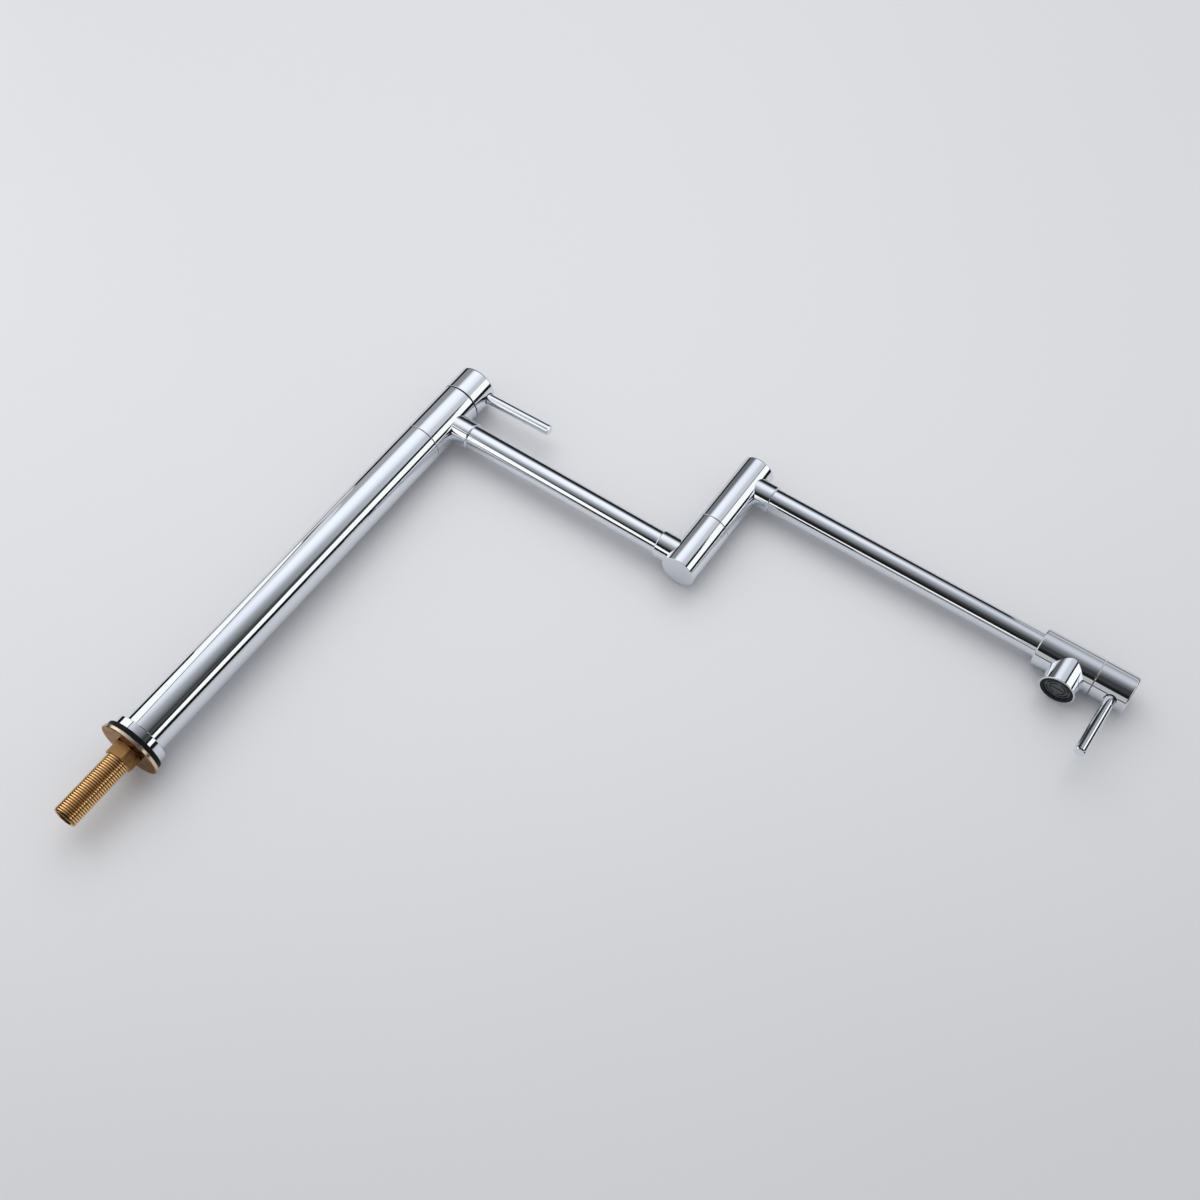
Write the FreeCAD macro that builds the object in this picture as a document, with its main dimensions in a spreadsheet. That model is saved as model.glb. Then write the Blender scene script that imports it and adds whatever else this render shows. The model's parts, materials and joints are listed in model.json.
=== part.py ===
"""Deck-mounted pot filler: a fixed column, two swinging arms and two quarter-turn lever valves.

The frame has +Z up the column, its origin on the column axis at the deck, which is the underside
of the base flange, and +X along the arms as they stand at rest. Sizes are in millimetres.
"""

import os
import re

import FreeCAD
import Part
import Sketcher

SIZES = {
    # Shank and what clamps it to the deck
    "thread_radius": 10.4775,
    "shank_bore": 6.5,
    "inlet_bore": 7.5,
    "inlet_depth": 50,
    "shank_drop": 78,
    "shank_grip": 14,
    "thread_chamfer": 1.2,
    "relief_depth": 0.9,
    "relief_length": 2.5,
    "relief_show": 1,
    "nut_flats": 24,
    "nut_height": 12,
    "nut_chamfer": 1.4,
    "washer_radius": 27.5,
    "washer_thick": 3.2,
    "gasket_radius": 26,
    "gasket_thick": 4.4,
    "edge_round": 0.5,
    "seam_round": 0.35,
    # Column
    "flange_radius": 23.75,
    "flange_height": 7.5,
    "column_radius": 19,
    "column_wall": 2,
    "column_length": 353.6,
    "spigot_height": 20,
    "riser_radius": 8,
    "riser_wall": 1.5,
    "riser_socket": 10,
    "plug_height": 24,
    "ring_seat": 1.6,
    # Swivel at the top of the column
    "post_radius": 13,
    "post_bore": 6.5,
    "post_reach": 17.5,
    "swivel_gap": 0.4,
    "swivel_height": 54.6,
    "arm_rise": 30.8,
    "tee_reach": 33.2,
    "seat_web": 4,
    # Seals and locking screws shared by both swivels
    "ring_section": 0.9,
    "ring_room": 0.05,
    "ring_groove": 2.4,
    "first_ring": 10.5,
    "ring_pitch": 4,
    "lock_height": 5,
    "lock_radius": 2.5,
    "lock_groove_depth": 2,
    "lock_sink": 0.4,
    # Arm tubes
    "tube_radius": 11,
    "tube_wall": 1.5,
    "stub_radius": 12.5,
    "stub_round": 1,
    "socket_depth": 13,
    "passage_radius": 8,
    "arm_reach": 258.5,
    # Elbow
    "knuckle_radius": 15.5,
    "knuckle_round": 1.5,
    "knuckle_reach": 27.7,
    "lower_foot": 15.7,
    "lower_height": 54.2,
    "elbow_gap": 0.4,
    "upper_rise": 54.8,
    "upper_height": 75.2,
    "end_wall": 4,
    "spindle_radius": 12,
    "spindle_bore": 8.5,
    "spindle_down": 26,
    "spindle_up": 22,
    "chamber_step": 1,
    "thrust_radius": 14,
    "thrust_seat": 1.5,
    # Quarter-turn cartridge, the same in both valves
    "sleeve_radius": 9.5,
    "sleeve_height": 18,
    "disc_bore": 8.2,
    "disc_bore_height": 12,
    "window_width": 9,
    "window_foot": 4.5,
    "collar_radius": 11.5,
    "collar_length": 14.1,
    "annulus": 3.5,
    "seat_hole": 5.5,
    "seal_thick": 1.2,
    "disc_thick": 2.5,
    "disc_play": 0.3,
    "port_radius": 1.8,
    "port_offset": 4.4,
    "stem_radius": 4.5,
    "stem_rise": 24,
    "carrier_radius": 6,
    # Handles
    "handle_gap": 1.2,
    "slip_ring_inset": 0.2,
    "slip_ring_width": 5,
    "column_cap_height": 26.4,
    "spout_cap_length": 30.4,
    "spout_gap": 0.6,
    "cap_round": 2,
    "cap_recess": 5,
    "cap_skirt": 3,
    "lever_height": 17.4,
    "lever_radius": 4.75,
    "lever_show": 67,
    "lever_sink": 5,
    "lever_edge": 0.9,
    "lever_play": 0.8,
    "tenon_radius": 3,
    "tenon_length": 3,
    "grub_length": 3.2,
    "grub_socket": 1.5,
    "column_lever_turn": 2,
    "spout_lever_turn": 12,
    # Spout
    "spout_start": 281.3,
    "spout_radius": 16.3,
    "spout_round": 1.2,
    "spout_length": 50.8,
    "nozzle_place": 29.6,
    "nozzle_radius": 15.3,
    "nozzle_drop": 30.4,
    "nozzle_round": 0.5,
    "nozzle_way": 7,
    "aerator_bore": 14.2,
    "aerator_depth": 13,
    "aerator_sink": 0.5,
    "aerator_wall": 1.6,
    "aerator_lip": 1.2,
    "aerator_seal": 2,
    "aerator_seal_hole": 8,
    "aerator_rib": 1.2,
    "aerator_first_slot": 6,
    "aerator_slot_pitch": 2.6,
    "key_slot_length": 15,
    "key_slot_width": 1.4,
    "key_slot_depth": 1.5,
    # Clearances
    "running": 0.05,
    "joined": 0.02,
    "slip": 0.3,
    "overcut": 1,
}

# Places and sizes worked out from the driving sizes, written once and used by name
PLACES = {
    "gasket_foot": "0 - gasket_thick",
    "washer_foot": "gasket_foot - washer_thick",
    "nut_foot": "washer_foot - nut_height",
    "nut_corner": "nut_flats / 2 / cos(30)",
    "column_inside": "column_radius - column_wall",
    "column_top": "flange_height + column_length",
    "post_foot": "column_top - ring_seat - plug_height",
    "riser_foot": "flange_height + spigot_height - riser_socket",
    "swivel_base": "column_top + swivel_gap",
    "swivel_top": "swivel_base + swivel_height",
    "post_total": "plug_height + ring_seat + swivel_gap + post_reach",
    "post_tee": "plug_height + ring_seat + swivel_gap",
    "cartridge_height": "sleeve_height + collar_length",
    "seat_rise": "swivel_height - cartridge_height",
    "arm_axis": "swivel_base + arm_rise",
    "chamber_radius": "sleeve_radius + annulus",
    "ring_depth": "2 * ring_section + ring_room",
    "lower_base": "arm_axis - lower_foot",
    "elbow_seam": "lower_base + lower_height",
    "upper_base": "elbow_seam + elbow_gap",
    "outer_axis": "upper_base + upper_rise",
    "spindle_total": "spindle_down + elbow_gap + spindle_up",
    "column_cap_base": "swivel_top + handle_gap",
    "spout_base": "arm_reach + spout_start",
    "spout_seat": "spout_length - cartridge_height",
    "spout_end": "spout_base + spout_length",
    "spout_cap_base": "spout_end + spout_gap",
    "fixed_disc_foot": "seal_thick",
    "moving_disc_foot": "seal_thick + disc_thick + running",
    "stem_foot": "moving_disc_foot + disc_thick",
    "stem_total": "cartridge_height + stem_rise",
    "aerator_top": "nozzle_drop - aerator_depth",
    "aerator_body": "aerator_depth - aerator_sink - aerator_seal",
}

FLAT = FreeCAD.Rotation()
ALONG_X = FreeCAD.Rotation(FreeCAD.Vector(0, 1, 0), 90)
ALONG_Y = FreeCAD.Rotation(FreeCAD.Vector(1, 0, 0), -90)
ORIGIN = ("0", "0", "0")
NEAR = 0.0001

doc = FreeCAD.newDocument("pot_filler")
sheet = doc.addObject("Spreadsheet::Sheet", "sizes")
for row, (size, value) in enumerate(SIZES.items(), 1):
    sheet.set(f"A{row}", size)
    sheet.set(f"B{row}", str(value))
    sheet.setAlias(f"B{row}", size)
doc.recompute()

nodes = []


def formula(text):
    """Writes a formula's names as references to the sheet."""

    def reference(match):
        word = match.group(0)
        if word in PLACES:
            return f"({formula(PLACES[word])})"
        return f"sizes.{word}" if word in SIZES else word

    return re.sub(r"[a-z][a-z_]*", reference, text)


def put(thing, place, rotation=FLAT):
    """Binds an object's position to formulas for x, y and z, with a fixed turn."""
    thing.Placement = FreeCAD.Placement(FreeCAD.Vector(), rotation)
    for letter, text in zip("xyz", place):
        if text != "0":
            thing.setExpression(f"Placement.Base.{letter}", formula(text))


def turn(thing, axis, text):
    """Binds an object's turn about one axis, in degrees, to a formula."""
    place = thing.Placement.Base
    thing.Placement = FreeCAD.Placement(place, FreeCAD.Rotation(axis, 10))
    thing.setExpression("Placement.Rotation.Angle", f"({formula(text)}) * 1 deg")


def node(thing, name):
    """Names a finished sub-part and lists it for export."""
    thing.Label = name
    nodes.append(thing)
    return thing


def lathe(name, outline, axis="z"):
    """Revolves a closed outline of (radius, distance along the axis) formulas about Z or X."""
    body = doc.addObject("PartDesign::Body", name)
    sketch = body.newObject("Sketcher::SketchObject", f"{name}_outline")
    plane = next(f for f in body.Origin.OriginFeatures if f.Role == "XZ_Plane")
    sketch.AttachmentSupport = [(plane, "")]
    sketch.MapMode = "FlatFace"
    count = len(outline)
    spread = FreeCAD.Rotation(FreeCAD.Vector(0, 0, 1), 360 / count)
    corners = [FreeCAD.Vector(10, 0, 0)]
    while len(corners) < count:
        corners.append(spread.multVec(corners[-1]))
    centre = FreeCAD.Vector(20, 20, 0)
    for index in range(count):
        start = corners[index] + centre
        finish = corners[(index + 1) % count] + centre
        sketch.addGeometry(Part.LineSegment(start, finish), False)
    for index in range(count):
        sketch.addConstraint(Sketcher.Constraint("Coincident", index, 2, (index + 1) % count, 1))
    for index, (radius, along) in enumerate(outline):
        across, up = (radius, along) if axis == "z" else (along, radius)
        spot = corners[index] + centre
        for kind, text, guess, line in (("DistanceX", across, spot.x, -2), ("DistanceY", up, spot.y, -1)):
            if text == "0":
                sketch.addConstraint(Sketcher.Constraint("PointOnObject", index, 1, line))
                continue
            number = sketch.addConstraint(Sketcher.Constraint(kind, index, 1, guess))
            sketch.setExpression(f"Constraints[{number}]", formula(text))
    solid = body.newObject("PartDesign::Revolution", f"{name}_turned")
    solid.Profile = sketch
    solid.ReferenceAxis = (sketch, ["V_Axis" if axis == "z" else "H_Axis"])
    solid.Angle = 360
    sketch.Visibility = False
    body.Tip = solid
    return body


def rounded(body, size, *corners):
    """Rounds the circular edges that a turned body has at the given corners of its outline."""
    doc.recompute()
    turned = body.Tip
    spots = [[sheet.evalExpression(formula(text)) for text in corner] for corner in corners]
    edges = []
    for number, edge in enumerate(turned.Shape.Edges, 1):
        if not isinstance(edge.Curve, Part.Circle):
            continue
        spot = (edge.Curve.Radius, sum(edge.Curve.Center))
        if any(abs(spot[0] - radius) < NEAR and abs(spot[1] - along) < NEAR for radius, along in spots):
            edges.append(f"Edge{number}")
    blend = body.newObject("PartDesign::Fillet", f"{body.Name}_round")
    blend.Base = (turned, edges)
    blend.setExpression("Radius", formula(size))
    turned.Visibility = False
    body.Tip = blend
    return body


def rod(name, radius, length, axis="z"):
    """Turns a plain rod that starts at the origin, for rounding."""
    return lathe(name, [("0", "0"), (radius, "0"), (radius, length), ("0", length)], axis)


def cylinder(name, radius, length, place=ORIGIN, rotation=FLAT):
    """Makes a cylinder with bound radius, length and place."""
    solid = doc.addObject("Part::Cylinder", name)
    solid.setExpression("Radius", formula(radius))
    solid.setExpression("Height", formula(length))
    put(solid, place, rotation)
    return solid


def fuse(name, pieces):
    """Joins several solids into one."""
    whole = doc.addObject("Part::MultiFuse", name)
    whole.Shapes = pieces
    whole.Refine = True
    return whole


def cut(name, base, tools):
    """Takes tools away from a base."""
    rest = doc.addObject("Part::Cut", name)
    rest.Base = base
    rest.Tool = tools[0] if len(tools) == 1 else fuse(f"{name}_tools", tools)
    rest.Refine = True
    return rest


def slab(name, length, width, height):
    """Makes a box that stands on the middle of its foot."""
    box = doc.addObject("Part::Box", name)
    for prop, side in (("Length", length), ("Width", width), ("Height", height)):
        box.setExpression(prop, formula(side))
    put(box, (f"0 - ({length}) / 2", f"0 - ({width}) / 2", "0"))
    return box


def ring_outline(outer, inner, foot, top):
    """Outline of a plain ring."""
    return [(inner, foot), (outer, foot), (outer, top), (inner, top)]


def ring(name, outer, inner, height, place, axis="z"):
    """Makes a plain ring as a sub-part of its own."""
    body = lathe(name, ring_outline(outer, inner, "0", height), axis)
    put(body, place)
    return node(body, name)


def o_ring(name, seat_radius, place):
    """Makes a seal ring that lies on the floor of its groove."""
    seal = doc.addObject("Part::Torus", name)
    seal.setExpression("Radius1", formula(f"{seat_radius} - ring_section"))
    seal.setExpression("Radius2", formula("ring_section"))
    put(seal, place)
    return node(seal, name)


def grooved(radius, foot, direction):
    """Outline corners of a swivel journal's lock groove and two seal grooves, from foot upwards."""
    half = "ring_groove / 2"
    marks = [
        ("lock_height", "lock_radius + slip", "lock_groove_depth"),
        ("first_ring", half, "ring_depth"),
        ("first_ring + ring_pitch", half, "ring_depth"),
    ]
    corners = []
    for height, reach, depth in marks:
        low = f"{foot} {direction} ({height}) - ({reach})"
        high = f"{foot} {direction} ({height}) + ({reach})"
        floor = f"{radius} - {depth}"
        corners.append([(radius, low), (floor, low), (floor, high), (radius, high)])
    if direction == "-":
        corners.reverse()
    return [corner for groove in corners for corner in groove]


def lock_screw(name, journal, skin, place):
    """Makes the screw that holds a swivel on its journal, sunk into the back of its body."""
    tip = f"{journal} - lock_groove_depth + slip"
    length = f"{skin} - lock_sink - ({tip})"
    shank = cylinder(f"{name}_shank", "lock_radius", length, ("0", tip, "0"), ALONG_Y)
    socket = doc.addObject("Part::Prism", f"{name}_socket")
    socket.Polygon = 6
    socket.setExpression("Circumradius", formula("lock_radius * 0.58"))
    socket.setExpression("Height", formula("lock_radius + overcut"))
    put(socket, ("0", f"{skin} - lock_sink - lock_radius", "0"), ALONG_Y)
    screw = cut(name, shank, [socket])
    put(screw, place)
    return node(screw, name)


def lock_hole(name, skin, place):
    """Hole for a swivel's locking screw, from the axis out through the back."""
    return cylinder(name, "lock_radius + joined", f"{skin} + overcut", place, ALONG_Y)


def build_deck_clamp():
    """Threaded shank with the nut, washer and gasket that clamp it under the deck."""
    shank = lathe(
        "threaded_shank",
        [
            ("inlet_bore", "0"),
            ("thread_radius - thread_chamfer", "0"),
            ("thread_radius", "thread_chamfer"),
            ("thread_radius", "shank_drop + nut_foot - relief_show"),
            ("thread_radius - relief_depth", "shank_drop + nut_foot - relief_show"),
            ("thread_radius - relief_depth", "shank_drop + nut_foot - relief_show + relief_length"),
            ("thread_radius", "shank_drop + nut_foot - relief_show + relief_length"),
            ("thread_radius", "shank_drop + shank_grip"),
            ("shank_bore", "shank_drop + shank_grip"),
            ("shank_bore", "inlet_depth"),
            ("inlet_bore", "inlet_depth"),
        ],
    )
    put(shank, ("0", "0", "0 - shank_drop"))
    node(shank, "threaded_shank")

    flats = doc.addObject("Part::Prism", "lock_nut_flats")
    flats.Polygon = 6
    flats.setExpression("Circumradius", formula("nut_corner"))
    flats.setExpression("Height", formula("nut_height"))
    chamfered = lathe(
        "lock_nut_chamfers",
        [
            ("thread_radius + joined", "0"),
            ("nut_flats / 2", "0"),
            ("nut_flats / 2 + 2 * nut_chamfer", "nut_chamfer"),
            ("nut_flats / 2 + 2 * nut_chamfer", "nut_height - nut_chamfer"),
            ("nut_flats / 2", "nut_height"),
            ("thread_radius + joined", "nut_height"),
        ],
    )
    nut = doc.addObject("Part::Common", "lock_nut")
    nut.Base = flats
    nut.Tool = chamfered
    put(nut, ("0", "0", "nut_foot"))
    node(nut, "lock_nut")

    for name, radius, thick, foot in (
        ("clamp_washer", "washer_radius", "washer_thick", "washer_foot"),
        ("rubber_gasket", "gasket_radius", "gasket_thick", "gasket_foot"),
    ):
        plate = lathe(
            name,
            [
                ("thread_radius + slip", "0"),
                (f"{radius} - edge_round", "0"),
                (radius, "edge_round"),
                (radius, f"{thick} - edge_round"),
                (f"{radius} - edge_round", thick),
                ("thread_radius + slip", thick),
            ],
        )
        put(plate, ("0", "0", foot))
        node(plate, name)


def build_column():
    """Base flange, column tube, riser pipe and the post that the swivel turns on."""
    flange = lathe(
        "base_flange",
        [
            ("thread_radius + joined", "0"),
            ("flange_radius", "0"),
            ("flange_radius", "flange_height - edge_round"),
            ("flange_radius - edge_round", "flange_height"),
            ("column_inside - joined", "flange_height"),
            ("column_inside - joined", "flange_height + spigot_height"),
            ("riser_radius + joined", "flange_height + spigot_height"),
            ("riser_radius + joined", "riser_foot"),
            ("riser_radius - riser_wall", "riser_foot"),
            ("riser_radius - riser_wall", "shank_grip"),
            ("thread_radius + joined", "shank_grip"),
        ],
    )
    node(flange, "base_flange")
    tube = ring("column_tube", "column_radius", "column_inside", "column_length", ("0", "0", "flange_height"))
    rounded(tube, "seam_round", ("column_radius", "column_length"))
    riser_length = "post_foot + riser_socket - riser_foot"
    ring("riser_pipe", "riser_radius", "riser_radius - riser_wall", riser_length, ("0", "0", "riser_foot"))

    post = lathe(
        "swivel_post",
        [
            ("riser_radius + joined", "0"),
            ("column_inside - joined", "0"),
            ("column_inside - joined", "plug_height"),
            ("post_radius", "plug_height"),
            *grooved("post_radius", "post_tee", "+"),
            ("post_radius", "post_total"),
            ("post_bore", "post_total"),
            ("post_bore", "riser_socket"),
            ("riser_radius + joined", "riser_socket"),
        ],
    )
    put(post, ("0", "0", "post_foot"))
    node(post, "swivel_post")
    o_ring("post_seal_lower", "post_radius", ("0", "0", "swivel_base + first_ring"))
    o_ring("post_seal_upper", "post_radius", ("0", "0", "swivel_base + first_ring + ring_pitch"))
    ring(
        "swivel_bearing",
        "column_inside - slip",
        "post_radius + running",
        "ring_seat + swivel_gap - running",
        ("0", "0", "column_top - ring_seat"),
    )


def build_swivel():
    """Tee on top of the column, with its branch for the first arm."""
    barrel = rod("swivel_barrel", "column_radius", "swivel_height")
    rounded(barrel, "seam_round", ("column_radius", "0"), ("column_radius", "swivel_height"))
    branch = rod("swivel_branch", "stub_radius", "tee_reach", "x")
    rounded(branch, "stub_round", ("stub_radius", "tee_reach"))
    put(branch, ("0", "0", "arm_rise"))
    seat_floor = "seat_rise - seat_web"
    tools = [
        cylinder(
            "swivel_post_bore",
            "post_radius + running",
            f"{seat_floor} + overcut",
            ("0", "0", "0 - overcut"),
        ),
        cylinder("swivel_seat_hole", "seat_hole", "seat_rise"),
        cylinder("swivel_chamber", "chamber_radius", "sleeve_height", ("0", "0", "seat_rise")),
        cylinder("swivel_collar_bore", "collar_radius + joined", "swivel_height", ("0", "0", "seat_rise")),
        cylinder("swivel_way", "passage_radius", "tee_reach", ("0", "0", "arm_rise"), ALONG_X),
        cylinder(
            "swivel_socket",
            "tube_radius + joined",
            "socket_depth + overcut",
            ("tee_reach - socket_depth", "0", "arm_rise"),
            ALONG_X,
        ),
        lock_hole("swivel_lock_hole", "column_radius", ("0", "0", "lock_height")),
    ]
    tee = cut("swivel_body", fuse("swivel_outside", [barrel, branch]), tools)
    put(tee, ("0", "0", "swivel_base"))
    node(tee, "swivel_body")
    lock_screw("swivel_lock_screw", "post_radius", "column_radius", ("0", "0", "swivel_base + lock_height"))
    slip_radius = "column_radius - slip_ring_inset"
    ring(
        "column_slip_ring",
        slip_radius,
        f"{slip_radius} - slip_ring_width",
        "handle_gap - 2 * running",
        ("0", "0", "swivel_top + running"),
    )


def build_cartridge(valve, axis, place, stem_turn):
    """Quarter-turn ceramic cartridge standing on its seat along Z or X."""
    up = axis == "z"
    shell = lathe(
        f"{valve}_cartridge_shell",
        [
            ("disc_bore", "0"),
            ("sleeve_radius", "0"),
            ("sleeve_radius", "sleeve_height"),
            ("collar_radius", "sleeve_height"),
            ("collar_radius", "cartridge_height"),
            ("stem_radius + running", "cartridge_height"),
            ("stem_radius + running", "disc_bore_height"),
            ("disc_bore", "disc_bore_height"),
        ],
        axis,
    )
    window = doc.addObject("Part::Box", f"{valve}_cartridge_window")
    sides = {
        "across": "window_width",
        "through": "2 * chamber_radius",
        "along": "disc_bore_height - window_foot",
    }
    order = ("across", "through", "along") if up else ("along", "through", "across")
    for prop, side in zip(("Length", "Width", "Height"), order):
        window.setExpression(prop, formula(sides[side]))
    middle = "0 - window_width / 2"
    corner = (middle, "0 - chamber_radius", "window_foot")
    put(window, corner if up else corner[::-1])
    body = cut(f"{valve}_cartridge_body", shell, [window])
    put(body, place)
    node(body, f"{valve}_cartridge_body")

    def along(distance):
        x, y, z = place
        return (x, y, f"{z} + {distance}") if up else (f"{x} + {distance}", y, z)

    ring(f"{valve}_seat_seal", "disc_bore - joined", "seat_hole", "seal_thick", place, axis)

    for name, radius, foot in (
        ("fixed_disc", "disc_bore - joined", "fixed_disc_foot"),
        ("moving_disc", "disc_bore - disc_play", "moving_disc_foot"),
    ):
        blank = cylinder(f"{valve}_{name}_blank", radius, "disc_thick", rotation=FLAT if up else ALONG_X)
        holes = []
        for side, offset in (("left", "0 - port_offset"), ("right", "port_offset")):
            spot = (offset, "0", "0") if up else ("0", "0", offset)
            way = FLAT if up else ALONG_X
            holes.append(cylinder(f"{valve}_{name}_port_{side}", "port_radius", "disc_thick", spot, way))
        disc = cut(f"{valve}_{name}", blank, holes)
        put(disc, along(foot))
        if name == "moving_disc":
            turn(disc, FreeCAD.Vector(0, 0, 1) if up else FreeCAD.Vector(1, 0, 0), stem_turn)
        node(disc, f"{valve}_{name}")

    stem = lathe(
        f"{valve}_stem",
        [
            ("0", "stem_foot"),
            ("carrier_radius", "stem_foot"),
            ("carrier_radius", "disc_bore_height - running"),
            ("stem_radius", "disc_bore_height - running"),
            ("stem_radius", "stem_total"),
            ("0", "stem_total"),
        ],
        axis,
    )
    put(stem, place)
    node(stem, f"{valve}_stem")


def cap_outline(radius, height, gap):
    """Outline of a handle cap with its hollow skirt and the socket for the valve stem."""
    socket_top = f"stem_rise - {gap} + joined"
    return [
        ("0", socket_top),
        ("stem_radius + joined", socket_top),
        ("stem_radius + joined", "cap_recess"),
        (f"{radius} - cap_skirt", "cap_recess"),
        (f"{radius} - cap_skirt", "0"),
        (radius, "0"),
        (radius, height),
        ("0", height),
    ]


def handle_cap(name, radius, height, gap, axis="z"):
    """Turns a handle cap with a rounded end and a fine edge at its seam."""
    cap = lathe(name, cap_outline(radius, height, gap), axis)
    rounded(cap, "cap_round", (radius, height))
    return rounded(cap, "seam_round", (radius, "0"))


def lever_outline(radius):
    """Outline of a lever rod, from its threaded tenon to its bevelled tip."""
    root = f"{radius} - lever_sink"
    tip = f"{radius} + lever_show"
    return [
        ("0", f"{root} - tenon_length"),
        ("tenon_radius - joined", f"{root} - tenon_length"),
        ("tenon_radius - joined", root),
        ("lever_radius", root),
        ("lever_radius", f"{tip} - lever_edge"),
        ("lever_radius - lever_edge", tip),
        ("0", tip),
    ]


def grub_outline():
    """Outline of the short screw under a lever that clamps the valve stem, with its key socket."""
    foot = "stem_radius + joined"
    top = f"{foot} + grub_length"
    floor = f"{foot} + grub_length / 2"
    return [
        ("0", foot),
        ("tenon_radius - joined", foot),
        ("tenon_radius - joined", top),
        ("grub_socket", top),
        ("grub_socket", floor),
        ("0", floor),
    ]


def build_column_handle():
    """Cap, lever and clamping screw on top of the column, the lever along the arm."""
    upright = FreeCAD.Vector(0, 0, 1)
    back = "0 - column_lever_turn"
    shape = handle_cap("column_cap_shape", "column_radius", "column_cap_height", "handle_gap")
    tools = [
        cylinder("column_lever_thread", "tenon_radius", "column_radius", ("0", "0", "lever_height"), ALONG_X),
        cylinder(
            "column_lever_sink",
            "lever_radius + lever_play",
            "lever_sink + overcut",
            ("column_radius - lever_sink", "0", "lever_height"),
            ALONG_X,
        ),
    ]
    cap = cut("column_handle_cap", shape, tools)
    lever = lathe("column_lever", lever_outline("column_radius"), "x")
    grub = lathe("column_handle_screw", grub_outline(), "x")
    for piece, name, height in (
        (cap, "column_handle_cap", "column_cap_base"),
        (lever, "column_lever", "column_cap_base + lever_height"),
        (grub, "column_handle_screw", "column_cap_base + lever_height"),
    ):
        put(piece, ("0", "0", height))
        turn(piece, upright, back)
        node(piece, name)


def build_inner_arm():
    """First arm tube and the lower half of the elbow."""
    tube_start = "tee_reach - socket_depth"
    tube_length = f"arm_reach - knuckle_reach + socket_depth - ({tube_start})"
    ring(
        "inner_arm_tube",
        "tube_radius",
        "tube_radius - tube_wall",
        tube_length,
        (tube_start, "0", "arm_axis"),
        "x",
    )
    barrel = rod("lower_barrel", "knuckle_radius", "lower_height")
    rounded(barrel, "seam_round", ("knuckle_radius", "0"), ("knuckle_radius", "lower_height"))
    stub_at = ("0 - knuckle_reach", "0", "lower_foot")
    branch = rod("lower_branch", "stub_radius", "knuckle_reach", "x")
    rounded(branch, "stub_round", ("stub_radius", "0"))
    put(branch, stub_at)
    mouth = ("0 - knuckle_reach - overcut", "0", "lower_foot")
    tools = [
        cylinder("lower_bore", "spindle_radius + running", "lower_height", ("0", "0", "end_wall")),
        cylinder(
            "lower_thrust_seat",
            "thrust_radius + slip",
            "thrust_seat + overcut",
            ("0", "0", "lower_height - thrust_seat"),
        ),
        cylinder("lower_way", "passage_radius", "knuckle_reach", stub_at, ALONG_X),
        cylinder("lower_socket", "tube_radius + joined", "socket_depth + overcut", mouth, ALONG_X),
        lock_hole("lower_lock_hole", "knuckle_radius", ("0", "0", "lower_height - lock_height")),
    ]
    knuckle = cut("elbow_lower_knuckle", fuse("lower_outside", [barrel, branch]), tools)
    put(knuckle, ("arm_reach", "0", "lower_base"))
    node(knuckle, "elbow_lower_knuckle")
    lock_screw(
        "elbow_lock_screw",
        "spindle_radius",
        "knuckle_radius",
        ("arm_reach", "0", "elbow_seam - lock_height"),
    )
    ring(
        "elbow_thrust_washer",
        "thrust_radius",
        "spindle_radius + running",
        "thrust_seat + elbow_gap - running",
        ("arm_reach", "0", "elbow_seam - thrust_seat"),
    )


def build_outer_arm():
    """Upper half of the elbow with its hollow spindle, and the second arm tube."""
    barrel = rod("upper_barrel", "knuckle_radius", "upper_height")
    rounded(barrel, "seam_round", ("knuckle_radius", "0"))
    rounded(barrel, "knuckle_round", ("knuckle_radius", "upper_height"))
    branch = rod("upper_branch", "stub_radius", "knuckle_reach", "x")
    rounded(branch, "stub_round", ("stub_radius", "knuckle_reach"))
    put(branch, ("0", "0", "upper_rise"))
    chamber = "upper_height - end_wall"
    tools = [
        cylinder("upper_bore", "spindle_radius + joined", "spindle_up + overcut", ("0", "0", "0 - overcut")),
        cylinder("upper_chamber", "spindle_radius - chamber_step", chamber),
        cylinder("upper_way", "passage_radius", "knuckle_reach", ("0", "0", "upper_rise"), ALONG_X),
        cylinder(
            "upper_socket",
            "tube_radius + joined",
            "socket_depth + overcut",
            ("knuckle_reach - socket_depth", "0", "upper_rise"),
            ALONG_X,
        ),
    ]
    knuckle = cut("elbow_upper_knuckle", fuse("upper_outside", [barrel, branch]), tools)
    put(knuckle, ("arm_reach", "0", "upper_base"))
    node(knuckle, "elbow_upper_knuckle")

    spindle = lathe(
        "elbow_spindle",
        [
            ("spindle_bore", "0"),
            ("spindle_radius", "0"),
            *grooved("spindle_radius", "spindle_down", "-"),
            ("spindle_radius", "spindle_total"),
            ("spindle_bore", "spindle_total"),
        ],
    )
    put(spindle, ("arm_reach", "0", "elbow_seam - spindle_down"))
    node(spindle, "elbow_spindle")
    o_ring("elbow_seal_upper", "spindle_radius", ("arm_reach", "0", "elbow_seam - first_ring"))
    o_ring("elbow_seal_lower", "spindle_radius", ("arm_reach", "0", "elbow_seam - first_ring - ring_pitch"))

    tube_start = "arm_reach + knuckle_reach - socket_depth"
    tube_length = f"spout_base + socket_depth - ({tube_start})"
    ring(
        "outer_arm_tube",
        "tube_radius",
        "tube_radius - tube_wall",
        tube_length,
        (tube_start, "0", "outer_axis"),
        "x",
    )


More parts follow.
